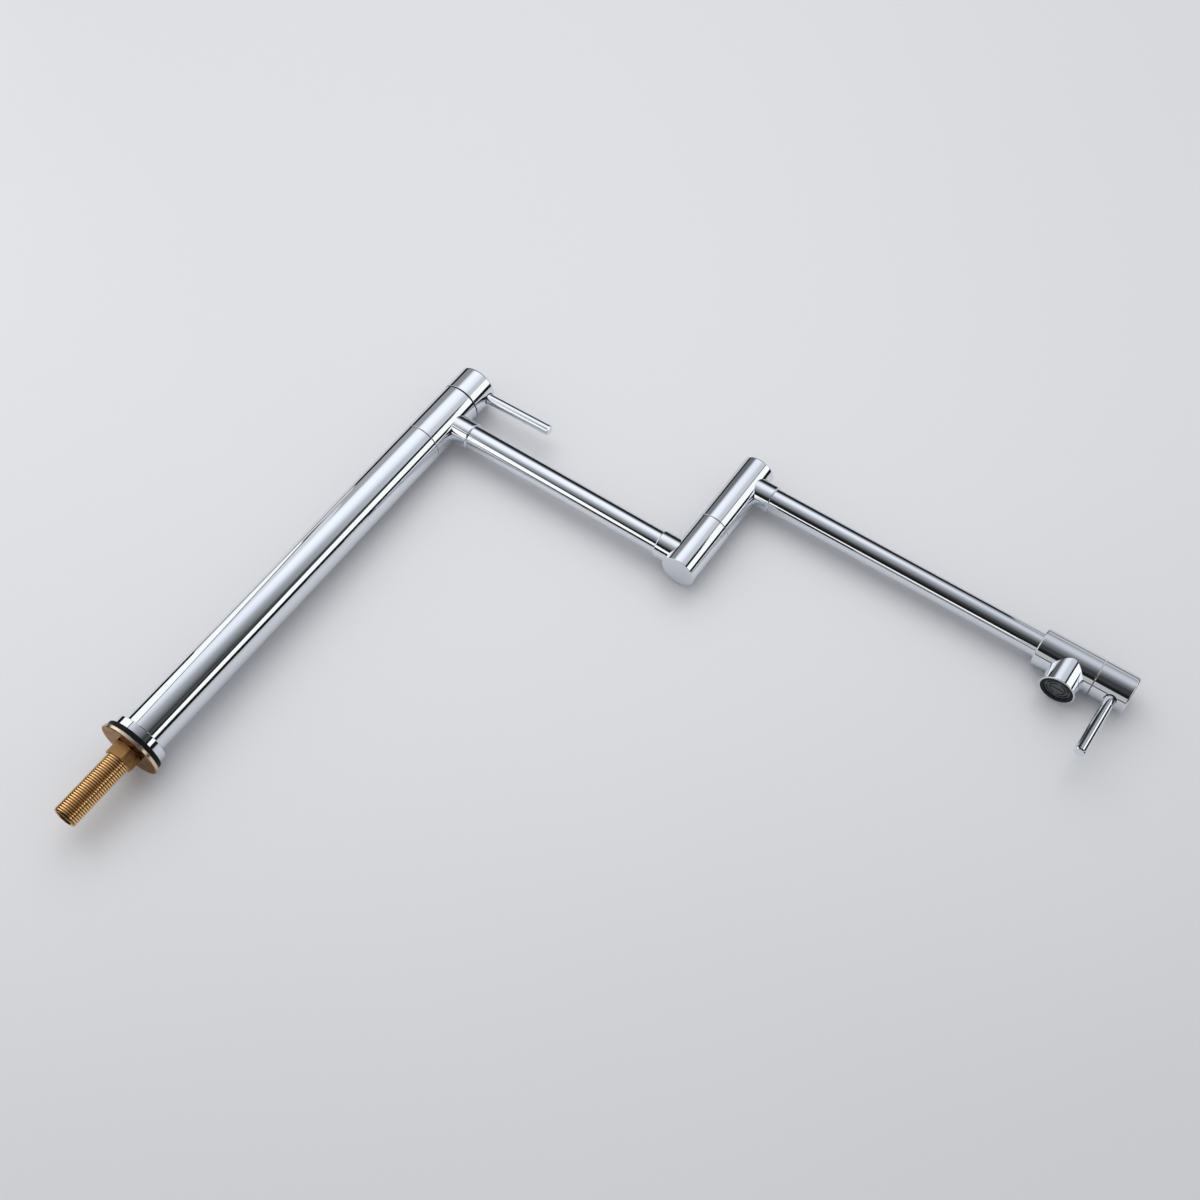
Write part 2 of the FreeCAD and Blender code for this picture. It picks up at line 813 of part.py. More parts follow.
def build_spout():
    """Spout valve body with its nozzle, and the aerator screwed up into it."""
    barrel = rod("spout_barrel", "spout_radius", "spout_length", "x")
    rounded(barrel, "spout_round", ("spout_radius", "0"))
    rounded(barrel, "seam_round", ("spout_radius", "spout_length"))
    nozzle_foot = ("nozzle_place", "0", "0 - nozzle_drop")
    nozzle = rod("spout_nozzle", "nozzle_radius", "nozzle_drop")
    rounded(nozzle, "nozzle_round", ("nozzle_radius", "0"))
    put(nozzle, nozzle_foot)
    mouth = ("nozzle_place", "0", "0 - nozzle_drop - overcut")
    seat = ("spout_seat", "0", "0")
    tools = [
        cylinder(
            "spout_socket",
            "tube_radius + joined",
            "socket_depth + overcut",
            ("0 - overcut", "0", "0"),
            ALONG_X,
        ),
        cylinder("spout_seat_hole", "seat_hole", "spout_seat", rotation=ALONG_X),
        cylinder("spout_chamber", "chamber_radius", "sleeve_height", seat, ALONG_X),
        cylinder("spout_collar_bore", "collar_radius + joined", "spout_length", seat, ALONG_X),
        cylinder("spout_way", "nozzle_way", "nozzle_drop - chamber_radius + overcut", nozzle_foot),
        cylinder("spout_aerator_bore", "aerator_bore", "aerator_depth + overcut", mouth),
    ]
    body = cut("spout_body", fuse("spout_outside", [barrel, nozzle]), tools)
    put(body, ("spout_base", "0", "outer_axis"))
    node(body, "spout_body")

    nozzle_axis = "spout_base + nozzle_place"
    housing_foot = "outer_axis - nozzle_drop + aerator_sink"
    housing = lathe(
        "aerator_housing",
        [
            ("aerator_bore - aerator_wall - aerator_lip", "0"),
            ("aerator_bore - joined", "0"),
            ("aerator_bore - joined", "aerator_body"),
            ("aerator_bore - aerator_wall", "aerator_body"),
            ("aerator_bore - aerator_wall", "aerator_lip"),
            ("aerator_bore - aerator_wall - aerator_lip", "aerator_lip"),
        ],
    )
    put(housing, (nozzle_axis, "0", housing_foot))
    node(housing, "aerator_housing")

    insert_radius = "aerator_bore - aerator_wall - joined"
    disc = cylinder("aerator_disc", insert_radius, "aerator_body - aerator_lip")
    slots = []
    for name, count in (("inner", 0), ("outer", 1)):
        inner = f"aerator_first_slot + {count} * aerator_slot_pitch"
        outline = ring_outline(f"{inner} + aerator_rib", inner, "0", "aerator_body")
        slots.append(lathe(f"aerator_{name}_slot", outline))
    bars = [
        slab("aerator_bar_across", "2 * aerator_rib", "2 * aerator_bore", "aerator_body"),
        slab("aerator_bar_along", "2 * aerator_bore", "2 * aerator_rib", "aerator_body"),
    ]
    openings = cut("aerator_openings", fuse("aerator_slots", slots), bars)
    key_slot = slab("aerator_key_slot", "key_slot_length", "key_slot_width", "key_slot_depth")
    insert = cut("aerator_insert", disc, [openings, key_slot])
    put(insert, (nozzle_axis, "0", f"{housing_foot} + aerator_lip"))
    node(insert, "aerator_insert")
    ring(
        "aerator_washer",
        "aerator_bore - joined",
        "aerator_seal_hole",
        "aerator_seal",
        (nozzle_axis, "0", "outer_axis - aerator_top - aerator_seal"),
    )


def build_spout_handle():
    """Cap, lever and clamping screw at the end of the spout, the lever hanging down."""
    lengthwise = FreeCAD.Vector(1, 0, 0)
    shape = handle_cap("spout_cap_shape", "spout_radius", "spout_cap_length", "spout_gap", "x")
    tools = [
        cylinder(
            "spout_lever_thread",
            "tenon_radius",
            "spout_radius",
            ("lever_height", "0", "0 - spout_radius"),
        ),
        cylinder(
            "spout_lever_sink",
            "lever_radius + lever_play",
            "lever_sink + overcut",
            ("lever_height", "0", "0 - spout_radius - overcut"),
        ),
    ]
    cap = cut("spout_handle_cap", shape, tools)
    put(cap, ("spout_cap_base", "0", "outer_axis"))
    turn(cap, lengthwise, "0 - spout_lever_turn")
    node(cap, "spout_handle_cap")
    lever = lathe("spout_lever", lever_outline("spout_radius"))
    grub = lathe("spout_handle_screw", grub_outline())
    for piece, name in ((lever, "spout_lever"), (grub, "spout_handle_screw")):
        put(piece, ("spout_cap_base + lever_height", "0", "outer_axis"))
        turn(piece, lengthwise, "180 - spout_lever_turn")
        node(piece, name)


def export_nodes():
    """Checks every object of the document, then writes one file for each sub-part."""
    for thing in doc.Objects:
        if "Invalid" in thing.State or "Error" in thing.State:
            raise RuntimeError(f"{thing.Name} did not build: {thing.State}")
    os.makedirs("parts", exist_ok=True)
    for thing in nodes:
        shape = thing.Shape
        if shape.isNull() or not shape.isValid() or len(shape.Solids) != 1:
            raise RuntimeError(f"{thing.Label} is not one valid solid")
        shape.exportStep(f"parts/{thing.Label}.step")
        print(f"{thing.Label}: {shape.Volume / 1000:.2f} cm3")


build_deck_clamp()
build_column()
build_swivel()
build_cartridge("column", "z", ("0", "0", "swivel_base + seat_rise"), "0 - column_lever_turn")
build_column_handle()
build_inner_arm()
build_outer_arm()
build_spout()
build_cartridge("spout", "x", ("spout_base + spout_seat", "0", "outer_axis"), "0 - spout_lever_turn")
build_spout_handle()
doc.recompute()
export_nodes()
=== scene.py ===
"""Looks of a deck-mounted pot filler: chrome column, swing arms and spout, brass shank, rubber gasket."""
import json
import math

import bmesh
import bpy
from mathutils import Matrix, Vector


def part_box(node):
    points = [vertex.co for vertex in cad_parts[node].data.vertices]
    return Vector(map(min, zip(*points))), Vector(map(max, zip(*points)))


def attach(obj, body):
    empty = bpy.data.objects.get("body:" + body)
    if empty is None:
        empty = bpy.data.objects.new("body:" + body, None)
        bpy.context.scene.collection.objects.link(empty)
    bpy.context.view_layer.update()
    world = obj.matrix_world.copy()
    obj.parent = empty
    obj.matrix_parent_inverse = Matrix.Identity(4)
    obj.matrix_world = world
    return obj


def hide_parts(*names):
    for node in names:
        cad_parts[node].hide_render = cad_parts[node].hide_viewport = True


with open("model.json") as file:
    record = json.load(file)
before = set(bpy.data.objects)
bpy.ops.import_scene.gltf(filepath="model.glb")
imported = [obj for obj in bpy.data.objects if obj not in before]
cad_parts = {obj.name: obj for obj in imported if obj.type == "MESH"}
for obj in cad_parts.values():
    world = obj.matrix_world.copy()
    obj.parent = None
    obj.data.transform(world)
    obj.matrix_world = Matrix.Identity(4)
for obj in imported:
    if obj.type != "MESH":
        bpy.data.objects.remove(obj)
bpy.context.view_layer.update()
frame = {"nodes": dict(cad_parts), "record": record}
NODES = frame["nodes"]
MM = 0.001


# Shader helpers

def new_material(name):
    """A material with only an output node, its tree and that node."""
    material = bpy.data.materials.new(name)
    material.use_nodes = True
    tree = material.node_tree
    tree.nodes.clear()
    return material, tree, tree.nodes.new("ShaderNodeOutputMaterial")


def principled(tree, output, **values):
    """A Principled shader joined to the output, with plain values set on its own sockets."""
    shader = tree.nodes.new("ShaderNodeBsdfPrincipled")
    for socket, value in values.items():
        shader.inputs[socket.replace("_", " ")].default_value = value
    tree.links.new(shader.outputs[0], output.inputs["Surface"])
    return shader


def emission(tree, output, colour=(1, 1, 1)):
    """An Emission shader joined to the output."""
    light = tree.nodes.new("ShaderNodeEmission")
    light.inputs["Color"].default_value = (*colour, 1)
    tree.links.new(light.outputs[0], output.inputs["Surface"])
    return light


def own_place(tree, kind="Object"):
    """The piece's own coordinates or, with kind Normal, the way its surface faces."""
    return tree.nodes.new("ShaderNodeTexCoord").outputs[kind]


def axes(tree, vector):
    """The X, Y and Z parts of a vector."""
    node = tree.nodes.new("ShaderNodeSeparateXYZ")
    tree.links.new(vector, node.inputs[0])
    return node.outputs


def noise(tree, size, detail, stretch=(1, 1, 1)):
    """Noise on the piece's own coordinates, with features about size metres across."""
    mapping = tree.nodes.new("ShaderNodeMapping")
    mapping.inputs["Scale"].default_value = stretch
    pattern = tree.nodes.new("ShaderNodeTexNoise")
    pattern.inputs["Scale"].default_value = 1 / size
    pattern.inputs["Detail"].default_value = detail
    tree.links.new(own_place(tree), mapping.inputs["Vector"])
    tree.links.new(mapping.outputs[0], pattern.inputs["Vector"])
    return pattern.outputs[0]


def spread(tree, source, low, high, start=0.3, end=0.7):
    """Maps a pattern from start..end to low..high."""
    node = tree.nodes.new("ShaderNodeMapRange")
    node.inputs["From Min"].default_value = start
    node.inputs["From Max"].default_value = end
    node.inputs["To Min"].default_value = low
    node.inputs["To Max"].default_value = high
    tree.links.new(source, node.inputs["Value"])
    return node.outputs[0]


def ramp(tree, source, *stops):
    """A colour ramp over a pattern; each stop is (position, (r, g, b))."""
    node = tree.nodes.new("ShaderNodeValToRGB")
    elements = node.color_ramp.elements
    while len(elements) < len(stops):
        elements.new(0.5)
    for element, (position, colour) in zip(elements, stops):
        element.position = position
        element.color = (*colour, 1)
    tree.links.new(source, node.inputs[0])
    return node.outputs[0]


def math_node(tree, operation, *sources):
    """A sum, product or other operation over one or two patterns."""
    node = tree.nodes.new("ShaderNodeMath")
    node.operation = operation
    for socket, source in zip(node.inputs, sources):
        tree.links.new(source, socket)
    return node.outputs[0]


def vector_node(tree, operation, source, other=(0, 0, 0)):
    """An operation over a vector and a fixed one, which some operations leave out."""
    node = tree.nodes.new("ShaderNodeVectorMath")
    node.operation = operation
    node.inputs[1].default_value = other
    tree.links.new(source, node.inputs[0])
    return node.outputs


def bump(tree, shader, source, depth):
    """Small relief from a pattern, depth in metres."""
    node = tree.nodes.new("ShaderNodeBump")
    node.inputs["Distance"].default_value = depth
    tree.links.new(source, node.inputs["Height"])
    tree.links.new(node.outputs[0], shader.inputs["Normal"])


# Materials, one function each; a grain is the depth of its relief in metres

HAZE_SIZE = 18 * MM
TONE_SIZE = 6 * MM
SMALL_TONE_SIZE = 4 * MM
TOOLING_SIZE = 0.4 * MM


def make_chrome():
    """Polished chrome: mirror-like, with faint wiping haze."""
    material, tree, output = new_material("chrome")
    shader = principled(tree, output, Metallic=1.0)
    haze = noise(tree, HAZE_SIZE, detail=4.0, stretch=(1, 1, 0.35))
    colour = ramp(tree, haze, (0.3, (0.80, 0.83, 0.885)), (0.7, (0.82, 0.85, 0.90)))
    tree.links.new(colour, shader.inputs["Base Color"])
    tree.links.new(spread(tree, haze, 0.025, 0.055), shader.inputs["Roughness"])
    return material


def make_metal(name, light, dark, rough, grain):
    """Bare metal: uneven tone and fine tooling marks."""
    material, tree, output = new_material(name)
    shader = principled(tree, output, Metallic=1.0)
    tone = noise(tree, TONE_SIZE, detail=5.0)
    tree.links.new(ramp(tree, tone, (0.32, dark), (0.68, light)), shader.inputs["Base Color"])
    tree.links.new(spread(tree, tone, rough - 0.06, rough + 0.08), shader.inputs["Roughness"])
    bump(tree, shader, noise(tree, TOOLING_SIZE, detail=2.0), grain)
    return material


def make_washer(grain):
    """Bronze washer, painted darker on its flat faces as shade and lighter round its rim as a highlight, by
    which way its surface faces.
    """
    material, tree, output = new_material("washer_metal")
    shader = principled(tree, output, Metallic=1.0, Specular_Tint=(0.92, 0.76, 0.62, 1))
    tone = noise(tree, TONE_SIZE, detail=5.0)
    # Painted shade and highlight: flat faces take the dark bronze, the rim the light one
    flat = math_node(tree, "ABSOLUTE", axes(tree, own_place(tree, "Normal"))["Z"])
    painted_face_shade = math_node(tree, "MULTIPLY", flat, spread(tree, tone, 0.85, 1.0))
    colour = ramp(tree, painted_face_shade, (0.4, (0.80, 0.68, 0.54)), (0.8, (0.27, 0.135, 0.055)),
                  (1.0, (0.18, 0.085, 0.035)))
    tree.links.new(colour, shader.inputs["Base Color"])
    tree.links.new(spread(tree, tone, 0.16, 0.3), shader.inputs["Roughness"])
    bump(tree, shader, noise(tree, TOOLING_SIZE, detail=2.0), grain)
    return material


def make_dull(name, light, dark, rough, grain, speck, shine=1.5):
    """Rubber, plastic or ceramic: two close tones with specks of grain; shine is its refractive index."""
    material, tree, output = new_material(name)
    shader = principled(tree, output, IOR=shine)
    tone = noise(tree, SMALL_TONE_SIZE, detail=4.0)
    tree.links.new(ramp(tree, tone, (0.3, dark), (0.7, light)), shader.inputs["Base Color"])
    tree.links.new(spread(tree, tone, rough - 0.06, rough + 0.06), shader.inputs["Roughness"])
    bump(tree, shader, noise(tree, speck, detail=2.0), grain)
    return material


MATERIALS = {
    "chrome": make_chrome(),
    "brass": make_metal("brass", (0.92, 0.70, 0.38), (0.78, 0.55, 0.26), rough=0.2, grain=3e-6),
    "plated_brass": make_metal("plated_brass", (0.84, 0.82, 0.78), (0.74, 0.72, 0.67), rough=0.2, grain=3e-6),
    "nut_brass": make_metal("nut_brass", (0.46, 0.255, 0.105), (0.36, 0.19, 0.075), rough=0.3, grain=8e-6),
    "washer_metal": make_washer(grain=6e-6),
    "copper_pipe": make_metal("copper_pipe", (0.80, 0.48, 0.33), (0.62, 0.34, 0.22), rough=0.3, grain=5e-6),
    "screw_steel": make_metal("screw_steel", (0.60, 0.61, 0.63), (0.46, 0.47, 0.49), rough=0.3, grain=4e-6),
    "rubber": make_dull("rubber", (0.010, 0.010, 0.012), (0.005, 0.005, 0.006),
                        rough=0.5, grain=2e-5, speck=0.5 * MM, shine=1.2),
    "black_plastic": make_dull("black_plastic", (0.012, 0.012, 0.013), (0.006, 0.006, 0.007),
                               rough=0.5, grain=8e-6, speck=0.6 * MM, shine=1.3),
    "grey_plastic": make_dull("grey_plastic", (0.085, 0.087, 0.092), (0.050, 0.051, 0.055),
                              rough=0.4, grain=8e-6, speck=0.6 * MM),
    "bearing_plastic": make_dull("bearing_plastic", (0.84, 0.83, 0.79), (0.76, 0.75, 0.71),
                                 rough=0.45, grain=6e-6, speck=0.6 * MM),
    "ceramic": make_dull("ceramic", (0.88, 0.87, 0.83), (0.81, 0.80, 0.76),
                         rough=0.18, grain=2e-6, speck=0.8 * MM),
}


def paint(node, slot):
    """Gives a CAD node one material in place of all it had."""
    materials = NODES[node].data.materials
    materials.clear()
    materials.append(MATERIALS[slot])


def paint_nodes():
    """Each node takes its record's material, but the cartridges are plated and the aerator is grey."""
    for part in frame["record"]["subparts"]:
        paint(part["node"], part["material_slot"])
    paint("column_cartridge_body", "plated_brass")
    paint("spout_cartridge_body", "plated_brass")
    paint("aerator_insert", "grey_plastic")


paint_nodes()


# Threaded shank, rebuilt with its thread

SHANK_LOW, SHANK_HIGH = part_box("threaded_shank")
SHANK_FOOT = SHANK_LOW.z
SHANK_TOP = SHANK_HIGH.z
THREAD_RADIUS = SHANK_HIGH.x
THREAD_PITCH = 2.06 * MM
THREAD_DEPTH = 1.2 * MM
THREAD_FADE = 2 * THREAD_PITCH
THREAD_END = -12 * MM
THREAD_CHAMFER = 1.3 * MM
BORE_WIDE = 7.5 * MM
BORE_NARROW = 6.5 * MM
BORE_STEP = SHANK_FOOT + 50 * MM
BORE_CHAMFER = 0.6 * MM
SEGMENTS = 96
SHARP_ANGLE = math.radians(42)
WELD = 0.001 * MM
# One turn of the thread's outline: part of the pitch, part of the depth
CREST_TO_ROOT = (
    (0.00, 0.07), (0.04, 0.0), (0.40, 0.0), (0.44, 0.07),
    (0.62, 0.93), (0.66, 1.0), (0.78, 1.0), (0.82, 0.93),
)


def make_thread_brass(grain):
    """Bare brass, bright on the thread's crests and in the bore, with painted shade that darkens it towards
    the thread's roots.
    """
    material, tree, output = new_material("thread_brass")
    shader = principled(tree, output, Metallic=1.0)
    across = vector_node(tree, "MULTIPLY", own_place(tree), (1, 1, 0))["Vector"]
    away = vector_node(tree, "LENGTH", across)["Value"]
    height = spread(tree, away, 0.0, 1.0, start=BORE_WIDE, end=THREAD_RADIUS)
    root = (THREAD_RADIUS - THREAD_DEPTH - BORE_WIDE) / (THREAD_RADIUS - BORE_WIDE)
    # Painted shade: the colour darkens from the crests down into the thread's roots
    colour = ramp(tree, height, (root - 0.1, (0.86, 0.58, 0.28)), (root, (0.29, 0.125, 0.04)),
                  ((1 + root) / 2, (0.65, 0.365, 0.13)), (0.96, (0.99, 0.72, 0.38)))
    tree.links.new(colour, shader.inputs["Base Color"])
    tone = noise(tree, SMALL_TONE_SIZE, detail=4.0)
    tree.links.new(spread(tree, tone, 0.14, 0.28), shader.inputs["Roughness"])
    bump(tree, shader, noise(tree, TOOLING_SIZE, detail=2.0), grain)
    return material


def thread_rows():
    """Rows of points that climb with the thread, held between the shank's foot and the thread's end."""
    turns = math.ceil((THREAD_END - SHANK_FOOT) / THREAD_PITCH) + 2
    rows = []
    for turn in range(turns):
        for part, depth in CREST_TO_ROOT:
            row = []
            for step in range(SEGMENTS):
                height = SHANK_FOOT + THREAD_PITCH * (turn + part + step / SEGMENTS - 1)
                height = min(max(height, SHANK_FOOT), THREAD_END)
                fade = min((THREAD_END - height) / THREAD_FADE, 1)
                radius = min(THREAD_RADIUS - fade * depth * THREAD_DEPTH,
                             THREAD_RADIUS - THREAD_CHAMFER + height - SHANK_FOOT)
                row.append((radius, height))
            rows.append(row)
    return rows


def plain_rows():
    """Rings from the thread's end over the neck and down the stepped bore to the shank's foot."""
    rings = (
        (THREAD_RADIUS, THREAD_END),
        (THREAD_RADIUS, SHANK_TOP),
        (BORE_NARROW, SHANK_TOP),
        (BORE_NARROW, BORE_STEP),
        (BORE_WIDE, BORE_STEP),
        (BORE_WIDE, SHANK_FOOT + BORE_CHAMFER),
        (BORE_WIDE + BORE_CHAMFER, SHANK_FOOT),
        (THREAD_RADIUS - THREAD_CHAMFER, SHANK_FOOT),
    )
    return [[ring] * SEGMENTS for ring in rings]


def add_skin(shape, rows, climb):
    """Faces between rows of (radius, height); after one round a row goes on as the row climb places later."""
    verts = []
    for row in rows:
        for step, (radius, height) in enumerate(row):
            angle = math.tau * step / SEGMENTS
            verts.append(shape.verts.new((radius * math.cos(angle), radius * math.sin(angle), height)))
    for row in range(len(rows) - 1):
        for step in range(SEGMENTS):
            on = row if step + 1 < SEGMENTS else row + climb
            after = (step + 1) % SEGMENTS
            if on + 1 < len(rows):
                shape.faces.new((verts[row * SEGMENTS + step], verts[on * SEGMENTS + after],
                                 verts[(on + 1) * SEGMENTS + after], verts[(row + 1) * SEGMENTS + step]))


def make_shank():
    """Shank with a helical thread up to the nut, a plain neck above, and a stepped bore."""
    shape = bmesh.new()
    add_skin(shape, thread_rows(), len(CREST_TO_ROOT))
    add_skin(shape, plain_rows(), 0)
    bmesh.ops.remove_doubles(shape, verts=shape.verts, dist=WELD)
    mesh = bpy.data.meshes.new("shank_thread")
    shape.to_mesh(mesh)
    shape.free()
    mesh.shade_smooth()
    mesh.set_sharp_from_angle(angle=SHARP_ANGLE)
    mesh.materials.append(make_thread_brass(grain=3e-6))
    shank = bpy.data.objects.new("shank_thread", mesh)
    bpy.context.scene.collection.objects.link(shank)
    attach(shank, "column")
    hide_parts("threaded_shank")


make_shank()


# Stage: the surface that the tap lies on, and the studio round it, in metres

MIDDLE = Vector((0.28, 0, 0.35))
TABLE_Y = 0.0282
TABLE_LEAN_Z = -0.0192
TABLE_LEAN_X = -0.0027
TABLE_REACH = 9.0
# Way over the table along which painted shade darkens it, standing in for the light's falloff
TABLE_LIGHT_FALLOFF_WAY = (0.6, 0, -0.5)
TABLE_MOTTLE_SIZE = 0.5
# Corners of the table's lit middle, X and Z
TABLE_LIT = ((0.05, -0.22), (0.85, 0.29), (0.47, 1.15), (-0.57, 0.38))
FLOOR_DROP = 0.002
OVERHEAD_Y = -1.0
HOT_SPOT = Vector((-0.37, OVERHEAD_Y, 0.83))
HOT_SPOT_LEAN = math.radians(-42)
HOT_SPOT_LENGTH = 2.03
HOT_SPOT_WIDTH = 1.35
RIGHT_X = 1.5
LEFT_X = -1.0
FAR_LEFT_X = -2.4
FRONT_Z = -0.75
HIGH_Z = 2.5
PROUD = 0.002
DOME_RADIUS = 14.0
DOME_OPEN_Y = 0.15 * DOME_RADIUS
DARK = 0.014
ROOM_COLOUR = (0.68, 0.685, 0.70)
KEY_PLACE = Vector((-0.7, -2.2, 1.25))
KEY_SIZE = 3.4
KEY_POWER = 34


def stage_mesh(name, corners, material, place=(0, 0, 0)):
    """A flat stage panel through the given corners, which count from its place."""
    mesh = bpy.data.meshes.new(name)
    mesh.from_pydata(corners, [], [tuple(range(len(corners)))])
    mesh.materials.append(material)
    panel = bpy.data.objects.new(name, mesh)
    bpy.context.scene.collection.objects.link(panel)
    panel.location = place
    return panel


def reflection_only(panel):
    """A panel that shows in gloss and nowhere else."""
    panel.visible_camera = False
    panel.visible_diffuse = False
    panel.visible_shadow = False
    panel.visible_transmission = False
    panel.visible_volume_scatter = False


def glow(name, level, colour=(1, 1, 1)):
    """An even panel surface of that brightness."""
    material, tree, output = new_material(name)
    emission(tree, output, colour).inputs["Strength"].default_value = level
    return material


def on_table(x, z, drop=0.0):
    """A point of the table, or drop metres behind it; the table touches washer, cap and spout."""
    return (x, TABLE_Y + TABLE_LEAN_Z * z + TABLE_LEAN_X * x + drop, z)


def make_table_paint():
    """Pale satin paint with painted shade, a little darker to the right and below where the light falls off,
    that shows from its front only.
    """
    material, tree, output = new_material("table_paint")
    shader = principled(tree, output, Roughness=0.35, IOR=1.6)
    # Painted shade: the light's falloff over the table, plus random mottle
    across = vector_node(tree, "DOT_PRODUCT", own_place(tree), TABLE_LIGHT_FALLOFF_WAY)["Value"]
    mottle = noise(tree, TABLE_MOTTLE_SIZE, detail=2.0)
    painted_falloff_and_mottle = math_node(tree, "ADD", spread(tree, across, 0.0, 0.9, start=-0.5, end=0.35),
                      spread(tree, mottle, 0.0, 0.1))
    colour = ramp(tree, painted_falloff_and_mottle, (0.0, (0.70, 0.705, 0.725)), (0.55, (0.69, 0.695, 0.715)),
                  (1.0, (0.64, 0.645, 0.66)))
    tree.links.new(colour, shader.inputs["Base Color"])
    side = tree.nodes.new("ShaderNodeNewGeometry")
    clear = tree.nodes.new("ShaderNodeBsdfTransparent")
    mix = tree.nodes.new("ShaderNodeMixShader")
    tree.links.new(side.outputs["Backfacing"], mix.inputs[0])
    tree.links.new(shader.outputs[0], mix.inputs[1])
    tree.links.new(clear.outputs[0], mix.inputs[2])
    tree.links.new(mix.outputs[0], output.inputs["Surface"])
    return material


def make_table():
    """Table behind the part; beyond its lit middle, gloss sees a dark floor in its place."""
    paint_coat = make_table_paint()
    dark = glow("dark_floor", DARK)
    stage_mesh("table", [on_table(x, z) for x, z in TABLE_LIT], paint_coat)
    low, high = -TABLE_REACH, TABLE_REACH
    outer = ((low, low), (high, low), (high, high), (low, high))
    for side in range(4):
        after = (side + 1) % 4
        rim = (TABLE_LIT[side], outer[side], outer[after], TABLE_LIT[after])
        edge = stage_mesh(f"table_edge_{side + 1}", [on_table(x, z) for x, z in rim], paint_coat)
        edge.visible_glossy = False
        floor = [on_table(x, z, FLOOR_DROP) for x, z in rim]
        reflection_only(stage_mesh(f"dark_floor_{side + 1}", floor, dark))


def make_overhead_glow():
    """A long bright spot that fades to dark, with a half-bright stretch on the right."""
    material, tree, output = new_material("overhead_glow")
    place = own_place(tree)
    lean = tree.nodes.new("ShaderNodeMapping")
    lean.vector_type = "TEXTURE"
    lean.inputs["Rotation"].default_value = (0, HOT_SPOT_LEAN, 0)
    lean.inputs["Scale"].default_value = (HOT_SPOT_LENGTH, 1, HOT_SPOT_WIDTH)
    ball = tree.nodes.new("ShaderNodeTexGradient")
    ball.gradient_type = "SPHERICAL"
    tree.links.new(place, lean.inputs["Vector"])
    tree.links.new(lean.outputs[0], ball.inputs["Vector"])
    rim_to_middle = ((0.0, 0.05), (0.13, 0.06), (0.25, 0.165), (0.36, 0.265), (0.52, 0.45), (0.70, 0.925),
                     (0.85, 1.12))
    spot = ramp(tree, ball.outputs[0], *((at, (level, level, level)) for at, level in rim_to_middle))
    where = axes(tree, place)
    across = spread(tree, where["X"], 0.0, 0.38, start=0.37, end=1.11)
    along = spread(tree, where["Z"], 0.0, 1.0, start=-0.37, end=0.12)
    both = math_node(tree, "ADD", spot, math_node(tree, "MULTIPLY", across, along))
    light = emission(tree, output, (0.96, 0.99, 1.04))
    tree.links.new(both, light.inputs["Strength"])
    return material


def make_overhead():
    """Large panel over the tap, which reaches left, right, front and back from its bright spot."""
    left, right, front, back = -0.88, 1.29, -1.33, 1.92
    corners = [(left, 0, front), (right, 0, front), (right, 0, back), (left, 0, back)]
    reflection_only(stage_mesh("overhead", corners, make_overhead_glow(), HOT_SPOT))


CARDS = {
    "white": glow("white_card", 1.16, (1, 0.99, 0.96)),
    "pale": glow("pale_card", 0.75),
    "half": glow("half_card", 0.52),
    "grey": glow("grey_card", 0.33),
    "faint": glow("faint_card", 0.07),
    "dark": glow("dark_seam", DARK),
}


def card(name, corners, tone):
    """A board that draws a band on the chrome."""
    reflection_only(stage_mesh(name, corners, CARDS[tone]))


def make_left_cards():
    """White board that folds over at its top, a dark seam along its upper edge and pale boards beyond."""
    edge = ((-0.24, 0.60), (-0.345, 0.615), (-0.70, 0.514), (-1.0, 0.444))
    seam_top = ((-1.0, 0.490), (-0.70, 0.56), (-0.345, 0.665), (-0.24, 0.64))
    side = ((-0.18, -1.0), (-0.18, 0.60), *edge, (-1.0, -1.0))
    fold = ((-1.0, -0.3), (-0.47, -0.3), (-0.55, 0.14), (-1.0, 0.444))
    fold_seam = ((-1.0, 0.444), (-0.55, 0.14), (-0.55, 0.185), (-1.0, 0.490))
    high = ((-0.40, 0.65), (-0.70, 0.54), (-1.0, 0.47), (-1.0, 0.80), (-0.75, 0.77), (-0.45, 0.72))
    low = ((-0.02, 0.36), (-0.02, 0.72), (-0.24, 0.72), (-0.24, 0.60), (-0.18, 0.60), (-0.18, 0.36))
    card("left_card", [(LEFT_X, y, z) for y, z in side], "white")
    card("left_seam", [(LEFT_X + PROUD, y, z) for y, z in (*edge, *seam_top)], "dark")
    card("left_fold_card", [(x, OVERHEAD_Y + PROUD, z) for x, z in fold], "white")
    card("left_fold_seam", [(x, OVERHEAD_Y + PROUD, z) for x, z in fold_seam], "dark")
    card("left_high_card", [(LEFT_X, y, z) for y, z in high], "pale")
    card("left_low_card", [(LEFT_X, y, z) for y, z in low], "pale")


def make_front_cards():
    """Boards past the tap's foot: a wide white one, a grey one near the table, one on the right."""
    wide = ((-2.0, -0.29), (0.44, -0.26), (0.44, -0.49), (0.2, -0.48), (0.009, -0.48), (-0.237, -0.80),
            (-0.42, -0.99), (-0.64, -1.22), (-2.0, -1.3))
    low = ((0.15, -0.02), (0.44, -0.02), (0.44, -0.26), (0.15, -0.264))
    right = ((0.44, -0.02), (1.2, -0.02), (1.2, -0.66), (0.44, -0.60))
    card("front_card", [(x, y, FRONT_Z) for x, y in wide], "white")
    card("front_low_card", [(x, y, FRONT_Z) for x, y in low], "grey")
    card("front_right_card", [(x, y, FRONT_Z) for x, y in right], "half")


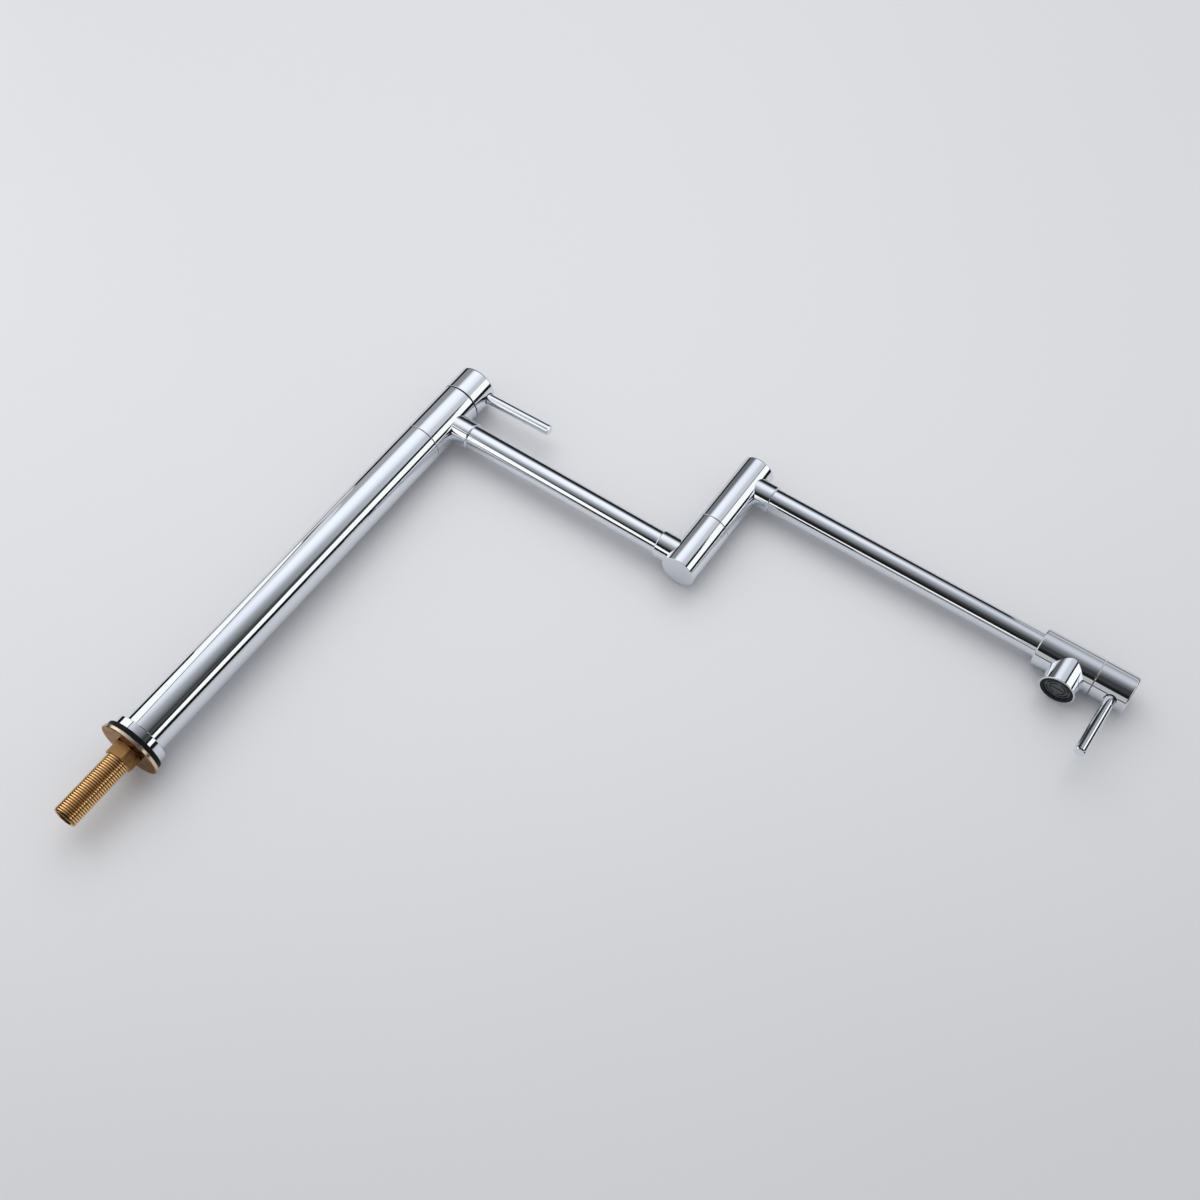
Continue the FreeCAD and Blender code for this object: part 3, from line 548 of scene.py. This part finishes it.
def make_right_cards():
    """Tall white board on the right, a half-bright one past the tap's top and a faint one overhead."""
    tall = ((-0.34, -0.4), (-0.34, 1.1), (-0.42, 1.35), (-0.42, 3.2), (-1.66, 3.2), (-1.66, 1.64),
            (-1.21, 1.40), (-0.81, 0.42), (-0.45, -0.4))
    high = ((0.36, -0.15), (1.4, -0.15), (1.4, -0.98), (0.36, -0.98))
    low = ((0.925, -0.3), (1.35, -0.3), (1.35, 0.95), (0.925, 0.95))
    card("right_card", [(RIGHT_X, y, z) for y, z in tall], "white")
    card("high_card", [(x, y, HIGH_Z) for x, y in high], "half")
    card("low_card", [(x, OVERHEAD_Y, z) for x, z in low], "faint")


def make_far_left():
    """Board far on the left that grows darker upwards and brighter towards the viewer."""
    material, tree, output = new_material("far_left_glow")
    place = axes(tree, own_place(tree))
    level = math_node(tree, "ADD", spread(tree, place["Z"], 0.42, 0.12, start=1.4, end=2.5),
                      spread(tree, place["Y"], 0.2, 0.0, start=-2.2, end=-1.2))
    tree.links.new(level, emission(tree, output).inputs["Strength"])
    near, far, low, high = -0.5, -2.4, 0.75, 4.0
    corners = [(FAR_LEFT_X, y, z) for y, z in ((near, low), (near, high), (far, high), (far, low))]
    reflection_only(stage_mesh("far_left_card", corners, material))


def make_dome():
    """Dark room round the table, open behind it and seen only in gloss."""
    mesh = bpy.data.meshes.new("dome")
    shape = bmesh.new()
    bmesh.ops.create_uvsphere(shape, u_segments=48, v_segments=24, radius=DOME_RADIUS)
    behind = [v for v in shape.verts if v.co.y > DOME_OPEN_Y]
    bmesh.ops.delete(shape, geom=behind, context="VERTS")
    shape.to_mesh(mesh)
    shape.free()
    mesh.materials.append(glow("dark_room", DARK))
    dome = bpy.data.objects.new("dome", mesh)
    bpy.context.scene.collection.objects.link(dome)
    dome.location = (MIDDLE.x, TABLE_Y, MIDDLE.z)
    reflection_only(dome)


def make_world():
    """Plain pale room light."""
    world = bpy.data.worlds.new("room")
    world.use_nodes = True
    tree = world.node_tree
    tree.nodes.clear()
    output = tree.nodes.new("ShaderNodeOutputWorld")
    light = tree.nodes.new("ShaderNodeBackground")
    light.inputs["Color"].default_value = (*ROOM_COLOUR, 1)
    tree.links.new(light.outputs[0], output.inputs["Surface"])
    bpy.context.scene.world = world


def make_key_lamp():
    """A soft round lamp aimed at the tap's middle, left out of reflections."""
    light = bpy.data.lights.new("key", "AREA")
    light.shape = "DISK"
    light.size = KEY_SIZE
    light.energy = KEY_POWER
    lamp = bpy.data.objects.new("key", light)
    bpy.context.scene.collection.objects.link(lamp)
    lamp.location = KEY_PLACE
    lamp.rotation_euler = (MIDDLE - KEY_PLACE).to_track_quat("-Z", "Y").to_euler()
    lamp.visible_glossy = False


make_table()
make_overhead()
make_left_cards()
make_front_cards()
make_right_cards()
make_far_left()
make_dome()
make_world()
make_key_lamp()


# Camera, at the photograph's place

CAMERA_PLACE = Vector((0.6093, -1.1112, -0.2695))
CAMERA_AIM = Vector((0.2214, 0.0, 0.3163))
CAMERA_ROLL = math.radians(39.36)
LENS_MM = 47.72
SENSOR_MM = 36.0


def make_camera():
    """The photograph's camera: its place, its aim and how far it is rolled."""
    lens = bpy.data.cameras.new("camera")
    lens.lens = LENS_MM
    lens.sensor_fit = "HORIZONTAL"
    lens.sensor_width = SENSOR_MM
    camera = bpy.data.objects.new("camera", lens)
    bpy.context.scene.collection.objects.link(camera)
    straight = (CAMERA_AIM - CAMERA_PLACE).to_track_quat("-Z", "Y").to_matrix().to_4x4()
    camera.matrix_world = Matrix.Translation(CAMERA_PLACE) @ straight @ Matrix.Rotation(CAMERA_ROLL, 4, "Z")
    bpy.context.scene.camera = camera


make_camera()

bpy.context.scene.view_settings.view_transform = "Standard"
